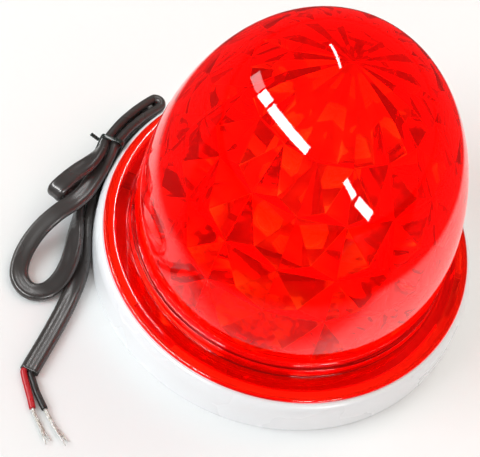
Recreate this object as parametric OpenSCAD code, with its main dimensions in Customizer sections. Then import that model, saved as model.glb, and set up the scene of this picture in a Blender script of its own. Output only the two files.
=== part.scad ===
// Signal beacon: white base, clear red faceted lens, lamp column and a flat lead tied in a hank.
// Millimetres, +Z up, origin in the middle of the underside. The lead leaves on the -X side.

/* [Base] */
// Radius of the white base at its wall
base_r = 51.95; // [51.5:0.05:56]
// Height of the base, where the lens lands
base_h = 12.4; // [12.2:0.1:16]
// Thickness of the wall
base_wall = 3.2; // [2.6:0.1:3.6]
// Thickness of the floor
floor_t = 2.6; // [2:0.1:3]
// Radius taken off at the shoulder
shoulder_r = 1.55; // [1:0.05:2]
// Height at which the shoulder starts below the top
shoulder_h = 4.2; // [3:0.1:5]
// Size of the rounding at the bottom edge
foot_round = 1; // [0.8:0.1:3]
// Outward flare of the wall at the foot
foot_flare = 0.4; // [0:0.1:0.6]
// Thickness of the lip that the lens hooks under
lip_t = 1.8; // [1.4:0.1:2]
// Number of fixing screws
fixing_count = 3; // [2:1:3]
// Diameter of a fixing hole
fixing_d = 4.4; // [3:0.1:5]
// Radius of the circle of fixing holes
fixing_ring_r = 41.2; // [40.6:0.1:41.4]

/* [Lens] */
// Outer radius of the flange
flange_r = 50; // [49.6:0.1:50.3]
// Thickness of the flange
flange_t = 1.7; // [1.5:0.1:2.2]
// Width of the flange's rounded rim
flange_round = 3; // [2:0.1:4]
// Outer radius of the step above the flange
step_r = 43.3; // [43:0.1:44]
// Height of the step above the flange
step_h = 2.8; // [2.4:0.1:3.4]
// Radius of the neck between step and dome
neck_r = 41.2; // [41:0.1:42]
// Greatest radius of the dome
dome_r = 42.65; // [42.4:0.05:44]
// Height of the dome's greatest radius above the step
dome_mid = 4; // [3.6:0.1:4.6]
// Height of the dome above its greatest radius
dome_rise = 69.7; // [66:0.1:76]
// Wall at a ridge crossing, the thickest place
node_wall = 4.2; // [3.6:0.1:5]
// Wall at the middle of a facet cell, the thinnest place
cell_wall = 1.7; // [1.4:0.1:2.4]
// Number of facet columns
facet_columns = 16; // [12:1:20]
// Direction of the first ridge
facet_start = -89; // [-95:0.5:-80]
// Depth of the skirt inside the base
skirt_depth = 3.7; // [3.5:0.1:3.8]
// Thickness of the skirt
skirt_t = 2.4; // [2:0.1:2.6]
// Number of locking lugs
lug_count = 3; // [2:1:4]
// Angle that one lug takes
lug_span = 15; // [10:1:16]
// Turn from locked to free
unlock_turn = 20; // [19:1:24]

/* [Seal] */
// Width of the sealing ring
gasket_w = 1; // [0.8:0.05:1.1]
// Thickness of the sealing ring
gasket_t = 0.8; // [0.6:0.05:0.9]

/* [Electronics] */
// Radius of the main board
board_r = 38; // [36:0.1:38.4]
// Thickness of the boards
board_t = 1.6; // [1:0.1:1.8]
// Height of the posts under the main board
post_h = 4; // [3.6:0.1:4.2]
// Radius of a post
post_r = 3.5; // [3:0.1:4]
// Radius of the circle of board screws
post_ring_r = 33.5; // [32.5:0.1:34]
// Number of board screws
post_count = 3; // [3:1:3]
// Diameter of a board screw
screw_d = 3; // [2.5:0.1:3.2]
// Radius of the reflector deck
deck_r = 39.4; // [38:0.1:39.6]
// Thickness of the reflector deck
deck_t = 1.2; // [1:0.1:1.5]
// Free height between board and deck
deck_clear = 6.4; // [6.3:0.1:6.8]
// Radius of the circle of deck legs
leg_ring_r = 32; // [31:0.1:33]
// Radius of a deck leg
leg_r = 2.5; // [2:0.1:3]
// Corner radius of the hexagonal column
column_r = 11; // [9.5:0.1:11.6]
// Wall of the column
column_wall = 1.6; // [1.2:0.1:2.4]
// Height of the column above the main board
column_h = 59.8; // [52:0.1:62]
// Thickness of a lamp strip
strip_t = 1.2; // [0.8:0.1:1.6]
// Width of a lamp strip
strip_w = 9.6; // [8:0.1:9.8]
// Edge of a square lamp
led_size = 5; // [3:0.1:5.6]
// Thickness of a lamp
led_t = 1.6; // [1:0.1:2]
// Lamps on one strip
leds_per_strip = 4; // [3:1:6]
// Radius of the cap board
cap_r = 15; // [13:0.1:17]
// Lamps in the ring on the cap board
cap_led_count = 6; // [4:1:6]

/* [Lead] */
// Width of the flat lead
cable_w = 5; // [5:0.1:5]
// Thickness of the flat lead
cable_t = 2.4; // [2.4:0.1:2.4]
// Diameter of an insulated core
core_d = 1.7; // [1.5:0.05:1.8]
// Diameter of the bare twisted strands
strand_d = 1.1; // [0.9:0.05:1.3]
// Distance of the lead's clamp from the outside of the wall
clamp_inset = 13.45; // [13:0.05:14]
// Thickness of the twist tie
tie_t = 0.45; // [0.3:0.05:0.5]
// Width of the twist tie
tie_w = 1.3; // [1:0.1:2]

/* [Hidden] */
$fn = 96;

// Small length by which cuts run past a face
over = 0.5;

// Clearances
turn_gap = 0.4;     // radial, between lens and base
deck_gap = 0.8;     // radial, between deck and lens
deck_lift = 0.4;    // upright, between deck and lens
sheath_gap = 0.6;   // under the lens skirt
lug_gap = 0.2;      // under the lip
fit_gap = 0.05;     // a piece pushed into its hole
hole_gap = 0.2;     // radial, round a screw
seat_gap = 0.3;     // between a lead and its neighbours

// Base, inside
inner_r = base_r - base_wall;
top_r = base_r - shoulder_r;
lug_reach = 0.9;
skirt_r = lip_r() - turn_gap;
lug_r = lip_r() + lug_reach;
notch_r = lug_r + turn_gap;
lip_z = base_h - lip_t;
lug_top = lip_z - lug_gap;
gasket_r = notch_r + 0.25 + gasket_w;
stop_rib_w = 1.2;

function lip_r() = base_r - 4.95;

// Lens
flange_top = base_h + flange_t;
step_top = flange_top + step_h;
skirt_bottom = base_h - skirt_depth;
ledge_round = 0.7;
dome_z = step_top + dome_mid;
neck_z = dome_z - 0.9;
bulge_z = dome_z + 1.5;
hall_r = deck_r + deck_gap;
hall_bottom = base_h - 0.5;
foot_r = hall_r - 2.6;
facet_rings = [0, 0.273, 0.475, 0.683, 0.848, 0.94];
cell_share = 0.38;

// Boards
board_z = floor_t + post_h;
board_top = board_z + board_t;
deck_z = board_top + deck_clear;
deck_top = deck_z + deck_t;
hall_top = deck_top + deck_lift;
foot_z = hall_top + 1.8;
rim_t = 1.4;
rim_drop = 1;
column_top = board_top + column_h;
flat_r = column_r * cos(30);
strip_r = flat_r + strip_t;
strip_bottom = deck_top + 1.2;
strip_top = column_top - 2;
cap_top = column_top + strip_t;
posts_at = [for (k = [0:post_count - 1]) 90 + k * 360 / post_count];
legs_at = [for (a = posts_at) a + 180 / post_count];

// Lead inside the base
exit_z = skirt_bottom - sheath_gap - cable_t / 2;
clamp_x = clamp_inset - base_r;
clamp_l = 4.4;
clamp_t = 2;
clamp_screw_y = 5.8;
clamp_screw_d = 2.5;
clamp_post_r = 2.3;
clamp_grip = 3.6;
clamp_end = 2.4;
sheath_end_x = clamp_x + 4;
notch_x = clamp_x + 7.5;
notch_half = 9.2;
grommet_face = base_r + 0.15;
grommet_seat = base_r - 0.75;
grommet_grow = 1.1;
neck_grow = 0.65;
block_x = clamp_x + 13.5;
block_l = 8;
block_w = 10.4;
block_h = 6;
block_wire_z = board_top + 2.2;
block_wire_y = 2.6;
head_h = 1.6;

// Position between two values
function mix(a, b, s) = a + (b - a) * s;

// Unit vector
function unit(v) = v / norm(v);

// Point of a smooth curve through b and c, with a and d as their neighbours
function through(a, b, c, d, s) =
    0.5 * (2 * b + (c - a) * s + (2 * a - 5 * b + 4 * c - d) * s * s + (3 * b - a - 3 * c + d) * s * s * s);

// Smooth curve through a list of points, with a number of steps between two of them
function smooth(p, steps) = [
    for (i = [0:len(p) - 2])
        for (k = [0:steps - 1])
            through(
                i == 0 ? 2 * p[0] - p[1] : p[i - 1],
                p[i],
                p[i + 1],
                i + 2 < len(p) ? p[i + 2] : 2 * p[i + 1] - p[i],
                k / steps
            ),
    p[len(p) - 1]
];

// Direction of travel at each point of a curve
function heading(p, i) = unit(p[min(i + 1, len(p) - 1)] - p[max(i - 1, 0)]);

// Section of the flat lead: two rounded edges and two flat sides
function flat_section(w, t) = [
    for (side = [0, 180])
        for (a = [-90, -42, 0, 42, 90])
            let (x = (w - t) / 2 + t / 2 * cos(a), y = t / 2 * sin(a))
            side == 0 ? [x, y] : [-x, -y]
];

// Round section with eight sides
function round_section(d) = [for (k = [0:7]) d / 2 * [cos(k * 45), sin(k * 45)]];

// Rings of a tube: each row is a place and the direction of the section's wide side
function rings(places, sides, section) = [
    for (i = [0:len(places) - 1])
        let (
            t = heading(places, i),
            wide = unit(sides[i] - (sides[i] * t) * t),
            thin = cross(t, wide)
        )
        [for (q = section) places[i] + q[0] * wide + q[1] * thin]
];

// Closed tube from its rings
module tube(r) {
    n = len(r[0]);
    last = len(r) - 1;
    walls = [
        for (i = [0:last - 1])
            for (j = [0:n - 1])
                for (part = [0, 1])
                    let (a = i * n + j, b = i * n + (j + 1) % n)
                    part == 0 ? [a, a + n, b + n] : [a, b + n, b]
    ];
    start = [for (j = [1:n - 2]) [0, j, j + 1]];
    end = [for (j = [1:n - 2]) [last * n, last * n + j + 1, last * n + j]];
    polyhedron(points = [for (ring = r) for (q = ring) q], faces = concat(walls, start, end));
}

// Round wire along a list of points
module wire(points, d, steps) {
    p = smooth(points, steps);
    tube(rings(p, [for (q = p) [0, 0, 1]], round_section(d)));
}

// Route of the lead outside: x, y, z, direction of its flat side in plan, and its tip from level
tie_y = 7.4;
upper_z = 11.3;
lower_z = 3.2;
high_row = [-55.95, -53.05];
low_row = [-56.75, -53.85];
hank_lean = 8;
exit_run = [
    [-grommet_face, 0, exit_z, -90, 0],
    [-53.4, 0, exit_z, -90, 0],
    [-54.6, 0, exit_z, -90, 0],
    [-56.6, -0.9, exit_z, -72, 0],
    [-58.1, -2.9, exit_z, -48, 0],
    [-59.5, -5.4, exit_z, -32, 0],
    [-60.8, -8, exit_z, -26, 0],
    [-61.8, -10.4, exit_z + 0.1, -22, 0],
    [-62.4, -12, exit_z + 1.5, -20, 0],
    [-62.3, -11.8, exit_z + 3.4, -20, 0],
    [-61.5, -10.2, 11.4, -22, 2],
    [-60.3, -7.8, 12.1, -24, 4],
    [-58.9, -5.2, 12.7, -24, 8],
    [-57.4, -2.4, 13, -20, 18],
    [-56.4, 1, 12.7, -12, 42],
    [-56, 4.4, 12, -4, 66],
    [high_row[0], tie_y, upper_z, 0, 90 - hank_lean]
];
loop_run = [
    [high_row[1], tie_y, upper_z, 0, 90 - hank_lean],
    [-53.25, 4.4, 11, 0, 70],
    [-53.7, 1.2, 10.7, -4, 46],
    [-54.2, -2.2, 10.4, -12, 20],
    [-54.7, -6, 10.2, -22, 6],
    [-55.4, -9.8, 10, -28, 0],
    [-57, -13.4, 9.7, -30, 0],
    [-59.4, -17, 8.8, -32, 0],
    [-61.6, -20.7, 7, -28, 0],
    [-63.1, -24.5, 5.2, -22, 0],
    [-63.9, -28.6, 3.4, -10, 0],
    [-63.7, -32.5, 2.1, 5, 0],
    [-62.5, -35.7, 1.5, 30, 0],
    [-60, -37.9, 1.4, 70, 0],
    [-57, -38.3, 1.4, 105, 0],
    [-54, -36.4, 1.8, 140, 0],
    [-52.2, -32.8, 3, 160, 0],
    [-51.7, -28.4, 4.2, 172, -4],
    [-52.3, -23.6, 4.6, 182, -16],
    [-53.6, -18.6, 4.2, 190, -42],
    [-55, -13.6, 3.3, 192, -70],
    [-56.1, -8.4, 2.8, 188, -86],
    [-56.6, -3, 2.7, 184, -90],
    [-56.8, 2.6, 2.75, 180, -90],
    [low_row[0], tie_y, lower_z, 180, -90]
];
tail_run = [
    [low_row[1], tie_y, lower_z, 180, -90],
    [-53.9, 2.6, 2.75, 180, -90],
    [-53.8, -3, 2.7, 183, -90],
    [-53.2, -8.4, 2.7, 189, -88],
    [-52.2, -13.6, 2.7, 195, -80],
    [-50.7, -18.9, 2.6, 199, -66],
    [-49.1, -24.2, 2.3, 200, -46],
    [-48.2, -29.2, 1.85, 194, -20],
    [-47.9, -34.8, 1.5, 184, -4],
    [-48, -42, 1.35, 180, 0],
    [-48.5, -50, 1.3, 177, 0],
    [-49.1, -57, 1.3, 176, 0],
    [-49.3, -60, 1.3, 176, 0]
];

// Turn at the far end of the hank: out beside the wall, round a small bulb and back along the wall
hank_r = base_r + 2.4;
hank_step = 5;
strand_gap = 0.5;
tie_az = 172.2;
function around(r, a, z, side, tip) = [r * cos(a), r * sin(a), z, side, tip];
function hank_turn(az, r, bulb, z_tie, z_end, side, tip) =
    let (
        n = round((tie_az - az) / hank_step),
        far = r + 2 * bulb,
        near = r + cable_t + strand_gap,
        out = [
            for (k = [n - 1:-1:1])
                around(mix(far, near, k / n), az + hank_step * k, mix(z_end, z_tie, k / n), side, tip)
        ],
        round_end = [
            for (b = [0:45:180])
                let (c = r + bulb + bulb * cos(b), s = bulb * sin(b))
                [c * cos(az) + s * sin(az), c * sin(az) - s * cos(az), z_end, side, tip]
        ],
        home = [for (k = [1:n - 1]) around(r, az + hank_step * k, mix(z_end, z_tie, k / n), side, tip)]
    )
    concat(out, round_end, home);

upper_turn = hank_turn(151, hank_r - 0.75, 1.7, upper_z, 8.9, 0, 90 - hank_lean);
lower_turn = hank_turn(153, hank_r, 1.7, lower_z, 2.75, 180, -90);
route = concat(exit_run, upper_turn, loop_run, lower_turn, tail_run);
route_steps = 2;
cable_places = smooth([for (q = route) [q[0], q[1], q[2]]], route_steps);
cable_angles = smooth([for (q = route) [q[3], q[4], 0]], route_steps);
cable_sides = [
    for (q = cable_angles)
        [cos(q[1]) * cos(q[0]), cos(q[1]) * sin(q[0]), sin(q[1])]
];
cable_rings = rings(cable_places, cable_sides, flat_section(cable_w, cable_t));

// Least distance of the lead to itself, measured between the points of rings that lie apart
ring_apart = 12;
near_centres = 6.8;
least_gap = min([
    for (i = [0:len(cable_rings) - 1])
        for (j = [i + ring_apart:1:len(cable_rings) - 1])
            if (norm(cable_places[i] - cable_places[j]) < near_centres)
                min([for (a = cable_rings[i]) for (b = cable_rings[j]) norm(a - b)])
]);
echo(least_gap_of_lead_to_itself = least_gap);

// Length of a run of points
function run_length(p, i = 0) = i > len(p) - 2 ? 0 : norm(p[i + 1] - p[i]) + run_length(p, i + 1);
echo(length_of_lead_outside = run_length(cable_places));

// Cores and strands past the end of the sheath
core_shift = (cable_w - cable_t) / 2;
red_run = [
    [-50.6, -60.15, 1.3], [-50.55, -60.5, 1.3], [-50.3, -61, 1.25], [-49.4, -62.3, 1.1],
    [-47.8, -64.4, 0.95], [-46.1, -66.7, 0.95], [-44.5, -69, 0.95]
];
black_run = [
    [-48.65, -60.2, 1.3], [-48.6, -60.5, 1.3], [-48.2, -61, 1.25], [-47.05, -62.3, 1.1],
    [-45.5, -64.2, 0.95], [-43.5, -66.2, 0.95], [-41.6, -68, 0.95]
];
red_tip_run = [
    [-44.45, -69.07, 0.95], [-43.8, -69.9, 0.9], [-42.2, -71.3, 0.8], [-39.8, -73.4, 0.7], [-36.5, -76.4, 0.7]
];
black_tip_run = [
    [-41.53, -68.07, 0.95], [-40.8, -68.7, 0.9], [-39.2, -70, 0.8], [-36.3, -72.1, 0.7], [-32, -75.1, 0.7]
];
red_inner_run = [
    [sheath_end_x + 0.1, core_shift, exit_z], [sheath_end_x + 0.6, core_shift, exit_z],
    [sheath_end_x + 1.3, core_shift + 0.05, exit_z + 0.3],
    [sheath_end_x + 2.5, core_shift + 0.4, mix(exit_z, block_wire_z, 0.46)],
    [sheath_end_x + 3.7, core_shift + 0.9, block_wire_z - 0.6],
    [sheath_end_x + 4.9, block_wire_y - 0.1, block_wire_z],
    [block_x - 3.4, block_wire_y, block_wire_z], [block_x - 1.4, block_wire_y, block_wire_z]
];

// Plate with rounded ends that lies in the plane of y and z
module end_shape(w, t) {
    square([w - t, t], center = true);
    for (side = [-1, 1]) {
        translate([side * (w - t) / 2, 0]) circle(d = t);
    }
}

// Bar along X with the lead's own section, grown by a margin
module flat_bar(x1, x2, grow) {
    translate([x1, 0, exit_z]) {
        rotate([90, 0, 90]) {
            linear_extrude(x2 - x1) end_shape(cable_w + 2 * grow, cable_t + 2 * grow);
        }
    }
}

// Sector of a ring
module ring_sector(r1, r2, z1, z2, middle, span) {
    rotate([0, 0, middle - span / 2]) {
        translate([0, 0, z1]) {
            rotate_extrude(angle = span) translate([r1, 0]) square([r2 - r1, z2 - z1]);
        }
    }
}

// Full ring
module ring(r1, r2, z1, z2) {
    translate([0, 0, z1]) {
        difference() {
            cylinder(r = r2, h = z2 - z1);
            translate([0, 0, -over]) cylinder(r = r1, h = z2 - z1 + 2 * over);
        }
    }
}

// Upright cylinder at a place
module peg(x, y, z1, z2, r) {
    translate([x, y, z1]) cylinder(r = r, h = z2 - z1);
}

// Outline of the base: rounded foot, straight wall and rounded shoulder
function quarter(cx, cy, rx, ry, a1, a2, n) =
    [for (k = [0:n]) let (a = mix(a1, a2, k / n)) [cx + rx * cos(a), cy + ry * sin(a)]];
base_outline = concat(
    [[0, 0]],
    quarter(base_r + foot_flare - foot_round, foot_round * 1.2, foot_round, foot_round * 1.2, -90, 0, 6),
    quarter(top_r - 0.6, base_h - shoulder_h, shoulder_r + 0.6, shoulder_h, 0, 75, 7),
    [[top_r - 0.6, base_h], [0, base_h]]
);

module base_housing() {
    color("white") difference() {
        union() {
            difference() {
                rotate_extrude() polygon(base_outline);
                translate([0, 0, floor_t]) cylinder(r = inner_r, h = lip_z - floor_t);
                translate([0, 0, floor_t]) cylinder(r = lip_r(), h = base_h);
            }
            for (a = posts_at) {
                rotate([0, 0, a]) peg(post_ring_r, 0, floor_t - over, board_z, post_r);
            }
            for (side = [-1, 1]) {
                peg(clamp_x, side * clamp_screw_y, floor_t - over, exit_z + cable_t / 2, clamp_post_r);
            }
            translate([clamp_x - clamp_l / 2, -cable_w / 2, floor_t - over]) {
                cube([clamp_l, cable_w, exit_z - cable_t / 2 - floor_t + over]);
            }
            for (k = [0:lug_count - 1]) {
                stop_ribs(k * 360 / lug_count);
            }
        }
        for (k = [0:lug_count - 1]) {
            lug_notch(k * 360 / lug_count);
        }
        ring(gasket_r - gasket_w - fit_gap, gasket_r + fit_gap, base_h - gasket_t, base_h + over);
        for (a = posts_at) {
            rotate([0, 0, a]) peg(post_ring_r, 0, floor_t, board_z + over, screw_d / 2 + fit_gap);
        }
        for (side = [-1, 1]) {
            peg(clamp_x, side * clamp_screw_y, floor_t, exit_z + cable_t / 2 + over, clamp_screw_d / 2 + fit_gap);
        }
        for (k = [0:fixing_count - 1]) {
            rotate([0, 0, 30 + k * 360 / fixing_count]) {
                peg(fixing_ring_r, 0, -over, floor_t + over, fixing_d / 2);
            }
        }
        flat_bar(-base_r - over, -inner_r + over, neck_grow + fit_gap);
        flat_bar(-base_r - over, -grommet_seat, grommet_grow + fit_gap);
    }
}

// Notch in the lip through which a lug drops
module lug_notch(middle) {
    ring_sector(lip_r() - over, notch_r, lip_z - over, base_h + over, middle, lug_span + 3);
}

// Two ribs under the lip that end a lug's travel
module stop_ribs(middle) {
    rib_a = stop_rib_w / lip_r() * 180 / PI;
    near = middle + lug_span / 2 + 1 + rib_a / 2;
    far = middle - unlock_turn - lug_span / 2 - 1 - rib_a / 2;
    for (a = [near, far]) {
        ring_sector(lug_r - lug_reach + turn_gap / 2, inner_r + over, lug_top - 1.4, lip_z + over / 2, a, rib_a);
    }
}

module lens_gasket() {
    color("dimgray") ring(gasket_r - gasket_w, gasket_r, base_h - gasket_t, base_h);
}

// Outline of the lens outside: rounded flange, step, neck and blunt dome
dome_steps = 28;
dome_from = 2;
lens_outline = concat(
    [[skirt_r, skirt_bottom], [skirt_r, base_h], [flange_r - 0.3, base_h]],
    quarter(flange_r - flange_round, base_h + 0.5, flange_round, flange_t - 0.4, 0, 90, 8),
    [[step_r + 0.6, flange_top], [step_r + 0.15, flange_top + 0.15], [step_r, flange_top + 0.6]],
    quarter(step_r - 0.2 - ledge_round, step_top - ledge_round, ledge_round, ledge_round, 0, 90, 4),
    [[neck_r + 0.8, step_top + 0.15], [neck_r + 0.25, step_top + 0.9]],
    [
        for (k = [0:5])
            [mix(neck_r, dome_radius(bulge_z), (1 - cos(36 * k)) / 2), mix(neck_z, bulge_z, k / 5)]
    ],
    [for (k = [dome_from:dome_steps]) let (a = 90 * k / dome_steps) [dome_r * cos(a), dome_z + dome_rise * sin(a)]],
    [[0, skirt_bottom]]
);

// Radius of the dome outside, and of surfaces that lie deeper by a wall
function dome_radius(z, wall = 0) =
    (dome_r - wall) * sqrt(1 - pow((z - dome_z) / (dome_rise - wall), 2));

// Cavity of the lens: square cells between the rings, each with four facets round a hollow
facet_ring_z = [for (s = facet_rings) mix(foot_z, dome_z + dome_rise - node_wall, s)];
column_a = 360 / facet_columns;
ring_last = len(facet_ring_z) - 1;
facet_points = concat(
    [
        for (i = [0:ring_last])
            for (k = [0:facet_columns - 1])
                let (
                    z = facet_ring_z[i],
                    r = i == 0 ? foot_r + 1.1 : dome_radius(z, node_wall),
                    a = facet_start + column_a * k
                )
                [r * cos(a), r * sin(a), z]
    ],
    [
        for (i = [0:ring_last - 1])
            for (k = [0:facet_columns - 1])
                let (
                    z = mix(facet_ring_z[i], facet_ring_z[i + 1], cell_share),
                    r = dome_radius(z, cell_wall),
                    a = facet_start + column_a * (k + 0.5)
                )
                [r * cos(a), r * sin(a), z]
    ],
    [[0, 0, dome_z + dome_rise - node_wall]]
);
function crossing(i, k) = i * facet_columns + k % facet_columns;
function hollow(i, k) = (ring_last + 1 + i) * facet_columns + k;
facet_faces = concat(
    [[for (k = [0:facet_columns - 1]) crossing(0, k)]],
    [
        for (i = [0:ring_last - 1])
            for (k = [0:facet_columns - 1])
                for (f = [
                    [crossing(i, k), hollow(i, k), crossing(i, k + 1)],
                    [crossing(i, k + 1), hollow(i, k), crossing(i + 1, k + 1)],
                    [crossing(i + 1, k + 1), hollow(i, k), crossing(i + 1, k)],
                    [crossing(i + 1, k), hollow(i, k), crossing(i, k)]
                ])
                    f
    ],
    [for (k = [0:facet_columns - 1]) [crossing(ring_last, k), len(facet_points) - 1, crossing(ring_last, k + 1)]]
);

module lens_dome() {
    color("red") difference() {
        union() {
            rotate_extrude() polygon(lens_outline);
            for (k = [0:lug_count - 1]) {
                ring_sector(skirt_r - 0.4, lug_r, skirt_bottom, lug_top, k * 360 / lug_count - unlock_turn, lug_span);
            }
        }
        translate([0, 0, skirt_bottom - over]) cylinder(r = skirt_r - skirt_t, h = hall_bottom - skirt_bottom + over);
        translate([0, 0, hall_bottom - over]) cylinder(r = hall_r, h = hall_top - hall_bottom + over);
        translate([0, 0, hall_top - over]) cylinder(r = foot_r, h = foot_z - hall_top + over + 0.1);
        polyhedron(points = facet_points, faces = facet_faces);
    }
}

module main_board() {
    color("darkgreen") difference() {
        peg(0, 0, board_z, board_top, board_r);
        for (a = posts_at) {
            rotate([0, 0, a]) peg(post_ring_r, 0, board_z - over, board_top + over, screw_d / 2 + hole_gap);
        }
        translate([notch_x - board_r, -notch_half, board_z - over]) {
            cube([board_r, 2 * notch_half, board_t + 2 * over]);
        }
    }
}

// Pan head screw with a cross slot, its head resting at a height
module pan_screw(z, d, l) {
    head_r = d * 0.93;
    difference() {
        union() {
            peg(0, 0, z, z + head_h, head_r);
            peg(0, 0, z - l, z + over / 2, d / 2);
        }
        for (a = [0, 90]) {
            rotate([0, 0, a]) translate([-d / 2, -0.3, z + head_h - 0.7]) cube([d, 0.6, 1]);
        }
    }
}

module board_screws() {
    color("silver") for (a = posts_at) {
        rotate([0, 0, a]) translate([post_ring_r, 0, 0]) pan_screw(board_top, screw_d, board_t + post_h - 0.6);
    }
}

module reflector_deck() {
    color("whitesmoke") difference() {
        union() {
            peg(0, 0, deck_z, deck_top, deck_r);
            for (a = legs_at) {
                rotate([0, 0, a]) peg(leg_ring_r, 0, board_top, deck_z + over, leg_r);
            }
            ring(deck_r - rim_t, deck_r, deck_z - rim_drop, deck_top);
        }
        translate([0, 0, deck_z - over]) {
            rotate([0, 0, 30]) cylinder(r = column_r + seat_gap, h = deck_t + 2 * over, $fn = 6);
        }
    }
}

module column_core() {
    color("white") rotate([0, 0, 30]) difference() {
        translate([0, 0, board_top]) cylinder(r = column_r, h = column_h, $fn = 6);
        translate([0, 0, board_top - over]) cylinder(r = column_r - column_wall, h = column_h - 2, $fn = 6);
    }
}

module strip_boards() {
    color("white") for (k = [0:5]) {
        rotate([0, 0, 60 * k]) {
            translate([flat_r, -strip_w / 2, strip_bottom]) cube([strip_t, strip_w, strip_top - strip_bottom]);
        }
    }
}

// Square lamp with a round yellow window, its back at the origin
module led() {
    difference() {
        translate([0, -led_size / 2, -led_size / 2]) cube([led_t, led_size, led_size]);
        translate([led_t - 0.25, 0, 0]) rotate([0, 90, 0]) cylinder(r = led_size * 0.38, h = 1, $fn = 32);
    }
}

module side_leds() {
    pitch = (strip_top - strip_bottom) / leds_per_strip;
    color("khaki") for (k = [0:5]) {
        rotate([0, 0, 60 * k]) {
            for (i = [0:leds_per_strip - 1]) {
                translate([strip_r, 0, strip_bottom + pitch * (i + 0.5)]) led();
            }
        }
    }
}

module cap_board() {
    color("white") peg(0, 0, column_top, cap_top, cap_r);
}

module cap_leds() {
    color("khaki") {
        for (k = [0:cap_led_count - 1]) {
            rotate([0, 0, k * 360 / cap_led_count]) {
                translate([cap_r - led_size / 2 - 1.4, 0, cap_top]) rotate([0, -90, 0]) led();
            }
        }
        translate([0, 0, cap_top]) rotate([0, -90, 0]) led();
    }
}

capacitor_r = 2.9;
capacitor_l = 11;
capacitor_at = [0.5, 25.5];

module smoothing_capacitor() {
    color("navy") translate([capacitor_at[0], capacitor_at[1], board_top + capacitor_r]) {
        rotate([0, 90, 0]) {
            difference() {
                cylinder(r = capacitor_r, h = capacitor_l);
                translate([0, 0, 1]) {
                    rotate_extrude() translate([capacitor_r, 0]) circle(r = 0.35, $fn = 24);
                }
            }
        }
        for (side = [-1, 1]) {
            translate([-2.2, side * 1.1 - 0.3, -0.3]) cube([2.4, 0.6, 0.6]);
            translate([-2.2, side * 1.1 - 0.3, -capacitor_r]) cube([0.6, 0.6, capacitor_r + 0.3]);
        }
    }
}

part_lift = 0.3;
part_wire_r = 0.35;

// Part with an axial lead at each end: body along X, its leads bent down to the board
module axial_part(body_r, body_l, reach) {
    lift = body_r + part_lift;
    wire_r = part_wire_r;
    translate([0, 0, board_top + lift]) {
        rotate([0, 90, 0]) {
            translate([0, 0, -body_l / 2]) cylinder(r = body_r, h = body_l, $fn = 40);
            translate([0, 0, -reach]) cylinder(r = wire_r, h = 2 * reach, $fn = 24);
        }
        for (side = [-1, 1]) {
            translate([side * (reach - wire_r), 0, -lift]) cylinder(r = wire_r, h = lift, $fn = 24);
        }
    }
}

diode_x = -9;
diode_r = 1.35;
diode_l = 5;
row_y = -14;
row_pitch = 4;
part_reach = 5;

module rectifier_diodes() {
    color("dimgray") for (k = [0:3]) {
        translate([diode_x, row_y - row_pitch * k, 0]) axial_part(diode_r, diode_l, part_reach);
    }
}

resistor_x = 9;
resistor_r = 1.1;
resistor_l = 6;

module resistors() {
    color("tan") for (k = [0:3]) {
        translate([resistor_x, row_y - row_pitch * k, 0]) axial_part(resistor_r, resistor_l, part_reach);
    }
}

chip_at = [20, 8];
chip_l = 9.4;
chip_w = 6.2;
chip_h = 3.2;
chip_lift = 0.5;
pin_pitch = 2.54;

module flasher_chip() {
    color("black") difference() {
        translate([chip_at[0] - chip_l / 2, chip_at[1] - chip_w / 2, board_top + chip_lift]) {
            cube([chip_l, chip_w, chip_h]);
        }
        peg(chip_at[0] - chip_l / 2, chip_at[1], board_top + chip_lift + chip_h - 0.5, board_top + 9, 0.8);
    }
}

module chip_pins() {
    color("silver") for (side = [-1, 1]) {
        for (k = [-1.5:1:1.5]) {
            translate([chip_at[0] + pin_pitch * k - 0.3, chip_at[1] + side * (chip_w / 2 + 0.45) - 0.45, board_top]) {
                cube([0.6, 0.9, chip_lift + chip_h / 2]);
            }
        }
    }
}

transistor_at = [20, -13];
transistor_w = 10;
transistor_l = 9;
transistor_h = 4.4;
tab_l = 6;
tab_t = 1.3;
tab_hole_r = 1.8;
leg_w = 0.8;
leg_t = 0.6;
leg_l = 3.6;
leg_z = 1.6;

module drive_transistor() {
    x = transistor_at[0];
    y = transistor_at[1];
    color("dimgray") difference() {
        union() {
            translate([x - transistor_w / 2, y, board_top]) cube([transistor_w, transistor_l, transistor_h]);
            translate([x - transistor_w / 2, y + over - tab_l, board_top]) cube([transistor_w, tab_l, tab_t]);
            for (k = [-1:1]) {
                translate([x + pin_pitch * k - leg_w / 2, y + transistor_l - over, board_top + leg_z]) {
                    cube([leg_w, leg_l, leg_t]);
                }
                translate([x + pin_pitch * k - leg_w / 2, y + transistor_l - over + leg_l - leg_t, board_top]) {
                    cube([leg_w, leg_t, leg_z + leg_t]);
                }
            }
        }
        peg(x, y + over - tab_l / 2, board_top - over, board_top + tab_t + over, tab_hole_r);
    }
}

module terminal_block() {
    color("seagreen") difference() {
        translate([block_x - block_l / 2, -block_w / 2, board_top]) cube([block_l, block_w, block_h]);
        for (side = [-1, 1]) {
            translate([block_x - block_l / 2 - over, side * block_wire_y, block_wire_z]) {
                rotate([0, 90, 0]) cylinder(d = core_d + 2 * hole_gap, h = block_l * 0.4 + over);
            }
            peg(block_x, side * block_wire_y, board_top + block_h - 1.6, board_top + block_h + over, 1.7);
        }
    }
}

module terminal_screws() {
    top = board_top + block_h - 0.3;
    color("silver") for (side = [-1, 1]) {
        difference() {
            peg(block_x, side * block_wire_y, top - 1.3, top, 1.7 - fit_gap);
            translate([block_x - 2, side * block_wire_y - 0.3, top - 0.6]) cube([4, 0.6, 1]);
        }
    }
}

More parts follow.
